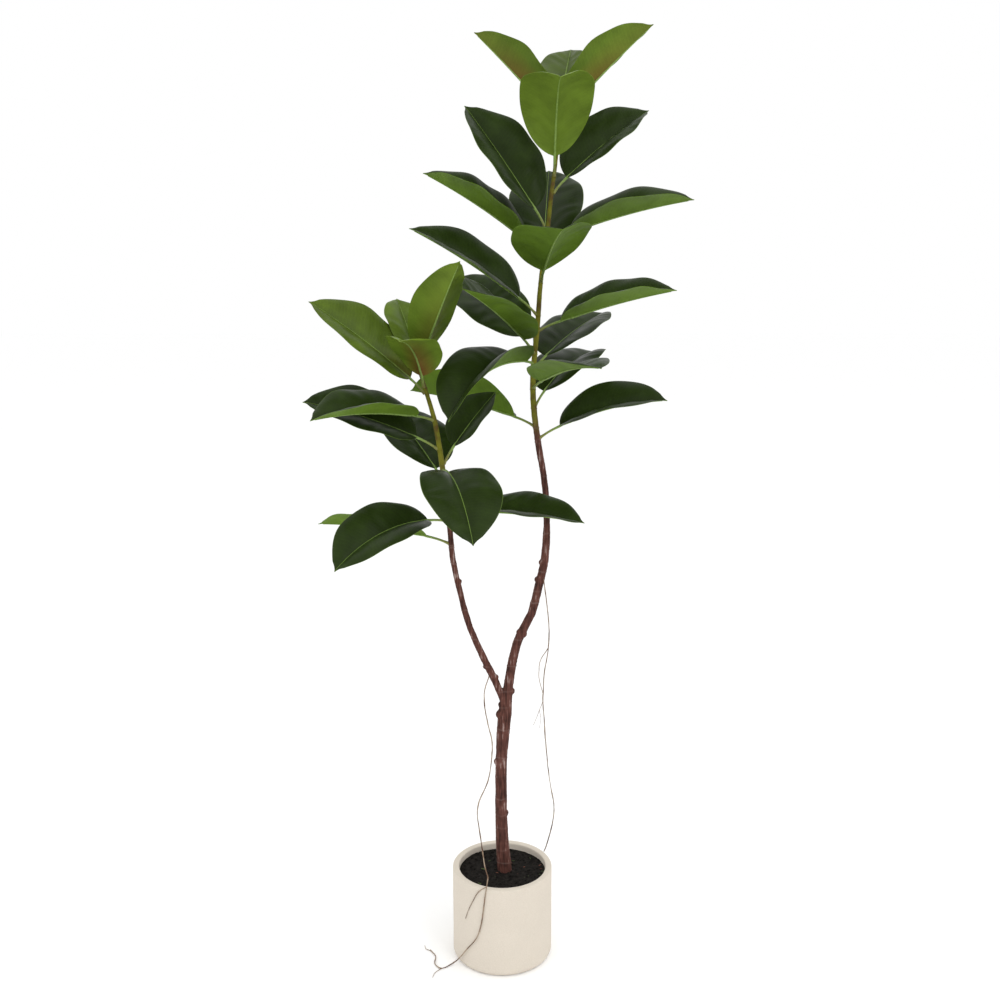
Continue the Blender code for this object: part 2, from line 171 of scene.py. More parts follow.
def cad_copy(node, name):
    """A new object with a CAD node's shape, its loose triangles merged."""
    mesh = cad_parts[node].data.copy()
    mesh.materials.clear()
    obj = bpy.data.objects.new(name, mesh)
    bpy.context.scene.collection.objects.link(obj)
    body = bmesh.new()
    body.from_mesh(mesh)
    bmesh.ops.remove_doubles(body, verts=body.verts, dist=MERGE)
    body.to_mesh(mesh)
    body.free()
    return obj


def select(kind, test):
    """In edit mode, selects the faces or the edges of the active object that pass the test."""
    body = bmesh.from_edit_mesh(bpy.context.object.data)
    body.select_mode = {kind}
    for face in body.faces:
        face.select_set(False)
    for item in (body.faces if kind == "FACE" else body.edges):
        item.select_set(bool(test(item)))
    body.select_flush_mode()
    bmesh.update_edit_mesh(bpy.context.object.data)


def put_attribute(mesh, name, values):
    """Stores one number for each point of the mesh, for its material to read."""
    attribute = mesh.attributes.get(name) or mesh.attributes.new(name, "FLOAT", "POINT")
    attribute.data.foreach_set("value", np.ascontiguousarray(values, dtype=np.float32))


def rows_of(items, field):
    """A field of three numbers, read from each item of a mesh."""
    flat = np.empty(len(items) * 3, np.float32)
    items.foreach_get(field, flat)
    return flat.reshape(-1, 3).astype(float)


def points_of(mesh):
    return rows_of(mesh.vertices, "co")


def normals_of(mesh):
    return rows_of(mesh.vertex_normals, "vector")


def set_points(mesh, points):
    mesh.vertices.foreach_set("co", np.ascontiguousarray(points, dtype=np.float32).ravel())
    mesh.update()


def through(stations, rows, at):
    """Values at new stations on a smooth curve through the given rows."""
    x = np.asarray(stations, float)
    y = np.asarray(rows, float)
    slope = np.gradient(y, x, axis=0)
    i = np.clip(np.searchsorted(x, at) - 1, 0, len(x) - 2)
    run = (x[i + 1] - x[i])[:, None]
    u = (at - x[i])[:, None] / run
    return (y[i] * (2 * u ** 3 - 3 * u ** 2 + 1) + slope[i] * run * (u ** 3 - 2 * u ** 2 + u)
            + y[i + 1] * (3 * u ** 2 - 2 * u ** 3) + slope[i + 1] * run * (u ** 3 - u ** 2))


def runs(rows):
    """How far along a line each of its places lies."""
    return np.concatenate([[0], np.cumsum(np.linalg.norm(np.diff(rows, axis=0), axis=1))])


def unit(rows):
    return rows / np.linalg.norm(rows, axis=-1, keepdims=True)


def bumpy(points, across, up=None, shift=0.0):
    """Noise at each point, with so many bumps to a metre across the piece and up it."""
    up = across if up is None else up
    return np.array([noise.noise(Vector((x * across, y * across, z * up + shift))) for x, y, z in points])


def finish_piece(obj, replaced, angle=None):
    """Smooths a finished piece and ties it to the frame."""
    place_in_mesh(obj)
    if angle is None:
        bpy.ops.object.shade_smooth()
    else:
        bpy.ops.object.shade_smooth_by_angle(angle=math.radians(angle))
    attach(obj, "root")
    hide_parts(replaced)


def tube(name, places, radii, sides=3):
    """A round closed tube through places, as a mesh object with a radius at each place."""
    deselect()
    bpy.ops.curve.primitive_nurbs_path_add(location=(0, 0, 0))
    obj = bpy.context.object
    obj.name = name
    curve = obj.data
    curve.splines.clear()
    curve.bevel_depth = 1.0
    curve.bevel_resolution = sides
    curve.use_fill_caps = True
    spline = curve.splines.new("POLY")
    spline.points.add(len(places) - 1)
    for point, place, radius in zip(spline.points, places, radii):
        point.co = (*place, 1.0)
        point.radius = radius
    pick(obj)
    bpy.ops.object.convert(target="MESH")
    bpy.ops.object.mode_set(mode="EDIT")
    bpy.ops.mesh.select_all(action="SELECT")
    bpy.ops.mesh.remove_doubles(threshold=MERGE)
    bpy.ops.mesh.normals_make_consistent(inside=False)
    bpy.ops.object.mode_set(mode="OBJECT")
    return bpy.context.object


# ---------------------------------------------------------------- materials

def feed(tree, node, inputs):
    """Gives a node's inputs their constants, or links to an output or to the first output of a node."""
    for key, value in inputs.items():
        if isinstance(value, bpy.types.Node):
            value = value.outputs[0]
        if isinstance(value, bpy.types.NodeSocket):
            tree.links.new(value, node.inputs[key])
        else:
            node.inputs[key].default_value = value


def add(tree, kind, inputs=None, stops=None, **settings):
    """Adds a shader node with its settings, its ramp stops and its inputs."""
    node = tree.nodes.new("ShaderNode" + kind)
    for key, value in settings.items():
        setattr(node, key, value)
    if stops:
        ramp = node.color_ramp.elements
        while len(ramp) < len(stops):
            ramp.new(0.5)
        for element, (place, value) in zip(ramp, stops):
            element.position = place
            element.color = value
    feed(tree, node, inputs or {})
    return node


def new_material(name):
    """A material with a bare Principled shader: its tree, the shader and places in metres."""
    made = bpy.data.materials.new(name)
    made.use_nodes = True
    tree = made.node_tree
    return made, tree, tree.nodes["Principled BSDF"], add(tree, "TexCoord").outputs["Object"]


def full(colour):
    return (*colour, 1.0)


def shade(colour, factor):
    """A linear colour made lighter or darker."""
    return tuple(min(c * factor, 1.0) for c in colour[:3]) + (1.0,)


def clay_material(settings):
    # Cast fibre clay, sanded and left unglazed: a dry matt surface with a fine sandy tooth, a
    # faint cloudiness, a few pinholes and no sheen.
    made, tree, shader, place = new_material("unglazed_cast_clay")
    clouds = add(tree, "TexNoise", {"Vector": place, "Scale": 22.0, "Detail": 4.0})  # 45 mm clouds
    # Sand of 0.3 mm, drawn at 1.1 mm so that it shows
    grains = add(tree, "TexNoise", {"Vector": place, "Scale": 900.0, "Detail": 3.0})
    pits = add(tree, "TexVoronoi", {"Vector": place, "Scale": 150.0})  # 7 mm apart
    base = full(settings.clay)
    cloudy = add(tree, "ValToRGB", {"Fac": clouds},
                 stops=[(0.30, shade(base, 0.985)), (0.70, shade(base, 1.015))])
    sandy = add(tree, "ValToRGB", {"Fac": grains},
                stops=[(0.35, (0.88, 0.87, 0.85, 1)), (0.60, (1, 1, 1, 1))])
    colour = add(tree, "Mix", {0: 0.7, 6: cloudy, 7: sandy}, data_type="RGBA", blend_type="MULTIPLY")
    pit = add(tree, "Math", {0: pits, 1: 0.07}, operation="LESS_THAN")
    relief = add(tree, "Math", {0: pit, 1: -0.8, 2: grains}, operation="MULTIPLY_ADD")
    bump = add(tree, "Bump", {"Height": relief, "Strength": 0.4, "Distance": 0.0004})
    feed(tree, shader, {"Base Color": colour.outputs[2], "Normal": bump, "Roughness": 0.88,
                        "Specular IOR Level": 0.25})
    return made


def peat_material(settings):
    # Damp peat compost: nearly black and crumbly, with brown fibres and no shine.
    made, tree, shader, place = new_material("damp_peat")
    lumps = add(tree, "TexNoise", {"Vector": place, "Scale": 180.0, "Detail": 5.0})  # 5 mm crumbs
    grit = add(tree, "TexNoise", {"Vector": place, "Scale": 900.0, "Detail": 4.0})  # 1 mm grit
    base = full(settings.peat)
    dark = add(tree, "ValToRGB", {"Fac": lumps},
               stops=[(0.35, shade(base, 0.45)), (0.55, base), (0.75, shade(base, 1.9))])
    fleck = add(tree, "ValToRGB", {"Fac": grit},
                stops=[(0.40, (0.55, 0.55, 0.55, 1)), (0.66, (1.1, 1.05, 1.0, 1))])
    colour = add(tree, "Mix", {0: 0.8, 6: dark, 7: fleck}, data_type="RGBA", blend_type="MULTIPLY")
    bump = add(tree, "Bump", {"Height": grit, "Strength": 0.9, "Distance": 0.0012})
    feed(tree, shader, {"Base Color": colour.outputs[2], "Normal": bump, "Roughness": 0.95,
                        "Specular IOR Level": 0.15})
    return made


def chip_material(name, hex_text):
    # Bits of dry moss and bark that lie on compost: matt, one dull colour mottled darker and paler.
    made, tree, shader, place = new_material(name)
    grain = add(tree, "TexNoise", {"Vector": place, "Scale": 500.0, "Detail": 3.0})  # 2 mm mottling
    base = linear(hex_text)
    colour = add(tree, "ValToRGB", {"Fac": grain},
                 stops=[(0.35, shade(base, 0.6)), (0.65, shade(base, 1.3))])
    bump = add(tree, "Bump", {"Height": grain, "Strength": 0.6, "Distance": 0.0005})
    feed(tree, shader, {"Base Color": colour, "Normal": bump, "Roughness": 0.9})
    return made


def bark_material(settings):
    # Living bark: old wood is red-brown and dry, streaked lengthways with pale grey where the skin
    # has stretched; the young stem is smooth, olive green and faintly waxy, with brown patches.
    made, tree, shader, place = new_material("rubber_plant_bark")
    age = add(tree, "Attribute", attribute_name="shoot").outputs["Fac"]
    scar = add(tree, "Attribute", attribute_name="scar").outputs["Fac"]
    long_way = add(tree, "Mapping", {"Vector": place, "Scale": (1.0, 1.0, 0.10)})
    streaks = add(tree, "TexNoise", {"Vector": long_way, "Scale": 330.0, "Detail": 4.0})  # 3 mm wide
    patches = add(tree, "TexNoise", {"Vector": place, "Scale": 45.0, "Detail": 3.0})  # 22 mm patches
    pores = add(tree, "TexNoise", {"Vector": place, "Scale": 700.0, "Detail": 3.0})  # 1.4 mm pores
    base = full(settings.bark)
    worn = add(tree, "Math", {0: streaks, 1: 0.6}, operation="MULTIPLY")
    worn = add(tree, "Math", {0: patches, 1: 0.4, 2: worn}, operation="MULTIPLY_ADD")
    old = add(tree, "ValToRGB", {"Fac": worn},
              stops=[(0.38, shade(base, 0.42)), (0.49, base), (0.58, shade(base, 1.5)),
                     (0.66, linear("#9A8680"))])
    pale = add(tree, "Math", {0: scar, 1: 0.22}, operation="MULTIPLY")
    scarred = add(tree, "Mix", {0: pale, 6: old, 7: linear("#A3918A")},
                  data_type="RGBA")
    green = full(settings.shoot)
    young = add(tree, "ValToRGB", {"Fac": patches},
                stops=[(0.36, green), (0.54, shade(green, 0.8)), (0.66, linear("#57451F"))])
    ringed = add(tree, "Mix", {0: pale, 6: young, 7: linear("#3F2F16")},
                 data_type="RGBA")
    colour = add(tree, "Mix", {0: age, 6: scarred.outputs[2], 7: ringed.outputs[2]}, data_type="RGBA")
    rough = add(tree, "MapRange", {"Value": age, "To Min": 0.85, "To Max": 0.6})
    relief = add(tree, "Math", {0: streaks, 1: pores}, operation="ADD")
    bump = add(tree, "Bump", {"Height": relief, "Strength": 0.6, "Distance": 0.0007})
    feed(tree, shader, {"Base Color": colour.outputs[2], "Normal": bump, "Roughness": rough,
                        "Specular IOR Level": 0.15})
    return made


VEIN_SPACING = 0.0058
VEIN_SLANT = 0.42  # how far a vein runs towards the tip for each metre it runs out


def vein_nodes(tree, place):
    """Reads where a point lies on its leaf, and gives the veins as 1 on a vein and 0 between."""
    across = add(tree, "Attribute", attribute_name="across").outputs["Fac"]
    along = add(tree, "Attribute", attribute_name="along").outputs["Fac"]
    out = add(tree, "Math", {0: across}, operation="ABSOLUTE").outputs[0]
    wander = add(tree, "TexNoise", {"Vector": place, "Scale": 60.0, "Detail": 1.0})  # 17 mm bends
    back = add(tree, "Math", {0: out, 1: -VEIN_SLANT, 2: along}, operation="MULTIPLY_ADD")
    bent = add(tree, "Math", {0: wander, 1: VEIN_SPACING, 2: back}, operation="MULTIPLY_ADD")
    swing = add(tree, "Math", {0: bent, 1: VEIN_SPACING / 2}, operation="PINGPONG")
    vein = add(tree, "MapRange", {"Value": swing, "From Max": 0.0011, "To Min": 1.0, "To Max": 0.0})
    return out, vein


def leaf_tint(tree, colour_socket):
    """Makes each leaf a little lighter or darker than the next, by its own tone."""
    tone = add(tree, "Attribute", attribute_name="tone").outputs["Fac"]
    return add(tree, "HueSaturation", {"Value": tone, "Color": colour_socket}).outputs["Color"]


def flushed(tree, near, foot, colour_socket):
    """Mixes in the red-brown of a young leaf near its midrib and foot, by the leaf's own share of it."""
    share = add(tree, "Attribute", attribute_name="flush").outputs["Fac"]
    place = add(tree, "Math", {0: near, 1: foot}, operation="MULTIPLY").outputs[0]
    blush = add(tree, "Math", {0: place, 1: share}, operation="MULTIPLY", use_clamp=True).outputs[0]
    return add(tree, "Mix", {0: blush, 6: colour_socket, 7: linear("#6B3520")}, data_type="RGBA").outputs[2]


def upper_material(name, leaf_colour, settings, young):
    # A living rubber plant leaf from above: thick and waxy, dark green, with a thin pale midrib, faint
    # side veins close together and a hair of light green round its edge. Its broad, lighter cloudy
    # patches are painted sheen.
    made, tree, shader, place = new_material(name)
    out, vein = vein_nodes(tree, place)
    edge = add(tree, "Attribute", attribute_name="edge").outputs["Fac"]
    station = add(tree, "Attribute", attribute_name="station").outputs["Fac"]
    clouds = add(tree, "TexNoise", {"Vector": place, "Scale": 32.0, "Detail": 3.0})  # 30 mm clouds, for the mottle with its painted sheen and for the roughness
    fine = add(tree, "TexNoise", {"Vector": place, "Scale": 420.0, "Detail": 2.0})  # 2.4 mm cells
    base = full(leaf_colour)
    # Cloudy patches: the darker ones are the leaf's own tone, the lighter ones (1.35 times) are painted
    # sheen
    mottle = add(tree, "ValToRGB", {"Fac": clouds},
                 stops=[(0.30, shade(base, 0.78)), (0.55, base), (0.75, shade(base, 1.35))])
    pale = add(tree, "Math", {0: vein, 1: 0.09}, operation="MULTIPLY")
    veined = add(tree, "Mix", {0: pale, 6: mottle, 7: shade(base, 2.1)}, data_type="RGBA")
    toned = leaf_tint(tree, veined.outputs[2])
    if young:
        near = add(tree, "MapRange", {"Value": out, "From Max": 0.016, "To Min": 0.55, "To Max": 0.0})
        foot = add(tree, "MapRange", {"Value": station, "From Max": 0.35, "To Min": 0.7, "To Max": 0.0})
        toned = flushed(tree, near, foot, toned)
    rib_width = add(tree, "MapRange", {"Value": station, "To Min": 0.0010, "To Max": 0.0003})
    rib = add(tree, "Math", {0: out, 1: rib_width}, operation="LESS_THAN")
    midrib = add(tree, "Math", {0: rib, 1: 0.65}, operation="MULTIPLY")
    ribbed = add(tree, "Mix", {0: midrib, 6: toned, 7: full(settings.stalk)}, data_type="RGBA")
    rim = add(tree, "MapRange", {"Value": edge, "From Min": 0.975, "From Max": 0.995,
                                 "To Min": 0.0, "To Max": 0.45})
    colour = add(tree, "Mix", {0: rim, 6: ribbed.outputs[2], 7: shade(full(settings.stalk), 0.8)},
                 data_type="RGBA")
    rough = add(tree, "MapRange", {"Value": clouds, "From Min": 0.3, "From Max": 0.7,
                                   "To Min": 0.30, "To Max": 0.44})
    relief = add(tree, "Math", {0: vein, 1: -0.7, 2: fine}, operation="MULTIPLY_ADD")
    bump = add(tree, "Bump", {"Height": relief, "Strength": 0.25, "Distance": 0.0003})
    feed(tree, shader, {"Base Color": colour.outputs[2], "Normal": bump, "Roughness": rough, "IOR": 1.45,
                        "Specular IOR Level": 0.11})
    return made


def under_material(name, leaf_colour, young):
    # The same leaf from below: matt, paler and yellower, its veins standing out a shade lighter. A young
    # leaf is flushed red-brown along the midrib and at its foot.
    made, tree, shader, place = new_material(name)
    out, vein = vein_nodes(tree, place)
    station = add(tree, "Attribute", attribute_name="station").outputs["Fac"]
    clouds = add(tree, "TexNoise", {"Vector": place, "Scale": 30.0, "Detail": 3.0})  # 33 mm clouds
    fine = add(tree, "TexNoise", {"Vector": place, "Scale": 650.0, "Detail": 2.0})  # 1.5 mm cells
    base = full(leaf_colour)
    mottle = add(tree, "ValToRGB", {"Fac": clouds},
                 stops=[(0.30, shade(base, 0.80)), (0.70, shade(base, 1.16))])
    pale = add(tree, "Math", {0: vein, 1: 0.14}, operation="MULTIPLY")
    veined = add(tree, "Mix", {0: pale, 6: mottle, 7: shade(base, 1.5)}, data_type="RGBA")
    toned = leaf_tint(tree, veined.outputs[2])
    if young:
        near = add(tree, "MapRange", {"Value": out, "From Min": 0.001, "From Max": 0.028,
                                      "To Min": 0.85, "To Max": 0.0})
        foot = add(tree, "MapRange", {"Value": station, "From Min": 0.10, "From Max": 0.75,
                                      "To Min": 1.0, "To Max": 0.15})
        toned = flushed(tree, near, foot, toned)
    relief = add(tree, "Math", {0: vein, 1: 0.8, 2: fine}, operation="MULTIPLY_ADD")
    bump = add(tree, "Bump", {"Height": relief, "Strength": 0.3, "Distance": 0.0003})
    feed(tree, shader, {"Base Color": toned, "Normal": bump, "Roughness": 0.62, "Specular IOR Level": 0.14})
    return made


def stalk_material(name, settings, hex_low):
    # Leaf stalks and midribs: smooth pale green skin, slightly waxy, browner towards the stem.
    made, tree, shader, place = new_material(name)
    station = add(tree, "Attribute", attribute_name="station").outputs["Fac"]
    grain = add(tree, "TexNoise", {"Vector": place, "Scale": 300.0, "Detail": 3.0})  # 3 mm mottling
    base = full(settings.stalk)
    foot = add(tree, "MapRange", {"Value": station, "From Min": -0.20, "From Max": -0.02,
                                  "To Min": 0.7, "To Max": 0.0})
    green = add(tree, "ValToRGB", {"Fac": grain},
                stops=[(0.35, shade(base, 0.75)), (0.65, shade(base, 1.1))])
    colour = add(tree, "Mix", {0: foot, 6: green, 7: linear(hex_low)}, data_type="RGBA")
    bump = add(tree, "Bump", {"Height": grain, "Strength": 0.3, "Distance": 0.0004})
    feed(tree, shader, {"Base Color": colour.outputs[2], "Normal": bump, "Roughness": 0.5,
                        "Specular IOR Level": 0.3})
    return made


def root_material(settings):
    # Dry aerial roots: papery brown skin, paler and greyer in patches, quite matt.
    made, tree, shader, place = new_material("dry_root_skin")
    patches = add(tree, "TexNoise", {"Vector": place, "Scale": 70.0, "Detail": 3.0})  # 14 mm patches
    grain = add(tree, "TexNoise", {"Vector": place, "Scale": 900.0, "Detail": 2.0})  # 1.1 mm flakes
    base = full(settings.skin)
    colour = add(tree, "ValToRGB", {"Fac": patches},
                 stops=[(0.32, linear("#4A2E22")), (0.48, base), (0.68, linear("#A79683"))])
    bump = add(tree, "Bump", {"Height": grain, "Strength": 0.7, "Distance": 0.0004})
    feed(tree, shader, {"Base Color": colour, "Normal": bump, "Roughness": 0.9, "Specular IOR Level": 0.2})
    return made


def floor_material(settings):
    # A painted studio floor: plain, pale and matt.
    made, tree, shader, _ = new_material("matt_floor_paint")
    feed(tree, shader, {"Base Color": full(settings.floor), "Roughness": 0.95, "Specular IOR Level": 0.1})
    return made


# ---------------------------------------------------------------- pot and soil

POT_SIDES = 160
POT_ROWS = 26
SOIL_SIDES = 144
SOIL_RINGS = 42


class PLANT_OT_pot(Operator):
    """Builds the round clay pot: a thick wall, a rounded foot and a slightly uneven cast surface"""
    bl_idname = "plant.pot"
    bl_label = "Clay pot"

    def execute(self, context):
        settings = context.scene.plant_pot
        low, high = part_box("pot")
        radius = (high.x - low.x) / 2
        height = high.z - low.z
        deselect()
        bpy.ops.mesh.primitive_cylinder_add(vertices=POT_SIDES, radius=radius, depth=height,
                                            location=(0, 0, (low.z + high.z) / 2))
        pot = context.object
        pot.name = "clay_pot"
        place_in_mesh(pot)
        bpy.ops.object.mode_set(mode="EDIT")
        select("FACE", lambda face: face.normal.z > 0.9)
        bpy.ops.mesh.inset(thickness=settings.wall)
        bpy.ops.mesh.extrude_region_move(TRANSFORM_OT_translate={"value": (0, 0, settings.floor - height)})
        inner = radius - settings.wall

        def ring(edge, level, out):
            return all(abs(v.co.z - level) < SAME_PLACE and abs(v.co.xy.length - out) < 5 * SAME_PLACE
                       for v in edge.verts)

        select("EDGE", lambda edge: ring(edge, high.z, radius) or ring(edge, high.z, inner))
        bpy.ops.mesh.bevel(offset=settings.rim_round, segments=5, profile=0.5)
        select("EDGE", lambda edge: ring(edge, low.z, radius))
        bpy.ops.mesh.bevel(offset=settings.foot_round, segments=9, profile=0.5)
        select("EDGE", lambda edge: ring(edge, settings.floor, inner))
        bpy.ops.mesh.bevel(offset=settings.rim_round, segments=3, profile=0.5)
        select("FACE", lambda face: abs(face.normal.z) > 0.99 and len(face.verts) > 8)
        for _ in range(3):
            bpy.ops.mesh.inset(thickness=radius * 0.24)
        # Level cuts, so that the wall has the points to be uneven with
        for k in range(1, POT_ROWS):
            bpy.ops.mesh.select_all(action="SELECT")
            bpy.ops.mesh.bisect(plane_co=(0, 0, low.z + height * k / POT_ROWS), plane_no=(0, 0, 1))
        bpy.ops.object.mode_set(mode="OBJECT")
        points = points_of(pot.data)
        push = settings.unevenness * (bumpy(points, 16, 13, 4) + 0.25 * bumpy(points, 90))
        out = np.maximum(np.hypot(points[:, 0], points[:, 1]), SAME_PLACE)
        points[:, :2] += points[:, :2] * (push / out)[:, None]
        set_points(pot.data, points)
        pot.data.materials.append(clay_material(settings))
        finish_piece(pot, "pot", angle=40)
        return {"FINISHED"}


class PLANT_OT_soil(Operator):
    """Fills the pot with peat: a lumpy top, loose crumbs, and a few bits of moss and bark"""
    bl_idname = "plant.soil"
    bl_label = "Potting soil"

    def execute(self, context):
        settings = context.scene.plant_soil
        low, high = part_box("soil")
        radius = (high.x - low.x) / 2
        deselect()
        bpy.ops.mesh.primitive_cylinder_add(vertices=SOIL_SIDES, radius=radius, depth=high.z - low.z,
                                            location=(0, 0, (low.z + high.z) / 2))
        soil = context.object
        soil.name = "potting_soil"
        place_in_mesh(soil)
        bpy.ops.object.mode_set(mode="EDIT")
        select("FACE", lambda face: abs(face.normal.z) > 0.9)
        for _ in range(SOIL_RINGS):
            bpy.ops.mesh.inset(thickness=radius / (SOIL_RINGS + 1.5))
        bpy.ops.mesh.poke()
        bpy.ops.object.mode_set(mode="OBJECT")
        points = points_of(soil.data)
        # Heaps 25 mm across, lumps of 8 mm and crumbs of 3 mm, a little lower towards the pot's wall
        rise = (bumpy(points, 40, 0, 1.5) * 0.5 + bumpy(points, 130, 0, 3.5) * 0.35
                + bumpy(points, 330, 0, 5.5) * 0.25)
        out = np.hypot(points[:, 0], points[:, 1]) / radius
        on_top = points[:, 2] > high.z - SAME_PLACE
        points[:, 2] += np.where(on_top, settings.lumps * (rise - 0.25 * out ** 4) - 0.0006, 0)
        set_points(soil.data, points)
        soil.data.materials.append(peat_material(settings))
        top = soil_height(soil)

        draw = random.Random(31)
        crumbs = []
        deselect()
        bpy.ops.mesh.primitive_ico_sphere_add(subdivisions=1, radius=1.0, location=(0, 0, 0))
        crumb = context.object
        moss = chip_material("dry_moss", "#4A5B31")
        chips = chip_material("bark_chips", "#6A3F30")
        for number in range(settings.crumbs):
            piece = crumb.copy()
            piece.data = crumb.data.copy()
            context.scene.collection.objects.link(piece)
            turn = draw.uniform(0, 2 * math.pi)
            out = radius * 0.965 * math.sqrt(draw.random())
            if number % 9 == 0:
                out = radius * draw.uniform(0.88, 0.96)
            x, y = out * math.cos(turn), out * math.sin(turn)
            size = draw.uniform(0.0006, 0.0021) * (0.6 + 0.6 * draw.random())
            stretch = [size * draw.uniform(0.7, 1.3) for _ in range(3)]
            tilts = [draw.uniform(0, math.pi), draw.uniform(0, math.pi), draw.uniform(0, 2 * math.pi)]
            finish = soil.data.materials[0]
            if number % 25 == 0:
                # A long thin bit of moss or bark, which lies flat
                stretch = [size * 2.6, size * 0.7, size * 0.5]
                tilts = [draw.uniform(-0.2, 0.2), draw.uniform(-0.2, 0.2), turn * 3]
                finish = moss if number % 50 else chips
            piece.scale = stretch
            piece.rotation_euler = tilts
            piece.location = (x, y, top(x, y) + min(stretch) * draw.uniform(0.0, 0.5))
            piece.data.materials.append(finish)
            crumbs.append(piece)
        bpy.data.objects.remove(crumb)
        join(soil, crumbs)
        finish_piece(soil, "soil", angle=50)
        return {"FINISHED"}


def soil_height(soil):
    """A function that gives the height of the soil's top at a place."""
    tree = BVHTree.FromPolygons([v.co for v in soil.data.vertices],
                                [tuple(p.vertices) for p in soil.data.polygons])
    above = max(v.co.z for v in soil.data.vertices) + 0.01

    def height(x, y):
        hit = tree.ray_cast(Vector((x, y, above)), Vector((0, 0, -1)))[0]
        return hit.z if hit else above - 0.01
    return height


# ---------------------------------------------------------------- leaves

# What a CAD leaf says: for stations from 0 at the blade's start to 1 at its tip, the middle line and
# the ways out to both edges; then the greatest half width and the middle points of its stalk.
LeafPlan = namedtuple("LeafPlan", "stations middle right left half_width stalk")
TIP_REACH = 0.0045  # a leaf's tip has fewer points this near to it than its stalk's end
STALK_ACROSS = 0.0075  # a ring narrower than this belongs to the stalk


def read_leaf(node):
    """Finds a leaf's middle line, edges and stalk in its CAD mesh, ring by ring from its tip."""
    body = bmesh.new()
    body.from_mesh(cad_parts[node].data)
    bmesh.ops.remove_doubles(body, verts=body.verts, dist=MERGE)
    verts = list(body.verts)
    places = np.array([v.co for v in verts])
    gaps = np.linalg.norm(places[:, None] - places[None], axis=2)
    ends = np.unravel_index(np.argmax(gaps), gaps.shape)
    tip = min(ends, key=lambda end: (gaps[end] < TIP_REACH).sum())
    seen, front, rings = {verts[tip]}, [verts[tip]], []
    while front:
        front = list(dict.fromkeys(e.other_vert(v) for v in front for e in v.link_edges
                                   if e.other_vert(v) not in seen))
        seen.update(front)
        if front:
            rings.append(np.array([v.co for v in front]))
    body.free()

    middle, right, left, stalk = [places[tip]], [], [], []
    side = None
    for ring in rings:
        spans = np.linalg.norm(ring[:, None] - ring[None], axis=2)
        a, b = np.unravel_index(np.argmax(spans), spans.shape)
        if spans[a, b] < STALK_ACROSS:
            stalk.append(ring.mean(axis=0))
            continue
        one, other = ring[a], ring[b]
        if side is not None and (one - other) @ side < 0:
            one, other = other, one
        side = one - other
        centre = (one + other) / 2
        offset = np.abs((ring - centre) @ (side / np.linalg.norm(side)))
        mids = ring[np.argsort(offset)[:2]]
        upper = min(mids, key=lambda place: np.linalg.norm(place - centre))
        middle.append(upper)
        right.append(one - upper)
        left.append(other - upper)
    half_width = max(np.linalg.norm(row) for row in right + left)
    middle.append(stalk[0])
    middle = np.array(middle[::-1])
    right = unit(np.array([right[-1]] + right[::-1] + [right[0]]))
    left = unit(np.array([left[-1]] + left[::-1] + [left[0]]))
    run = runs(middle)
    return LeafPlan(run / run[-1], middle, right, left, half_width, np.array(stalk)), run[-1]


def outline(t):
    """A blade's half width at a share of its length: egg-shaped, with a short drawn-out tip."""
    low = (1 - np.clip((0.5 - t) / 0.5, 0, 1) ** 2.4) ** 0.6
    high = 1 - np.clip((t - 0.5) / 0.5, 0, 1) ** 2.2
    body = np.where(t < 0.5, low, high)
    point = np.clip((t - 0.945) / 0.055, 0, 1)
    return body * (1 - 0.62 * point ** 0.8 * (1 - point * 0.2))


GRID_ACROSS = 28
GRID_ALONG = 64


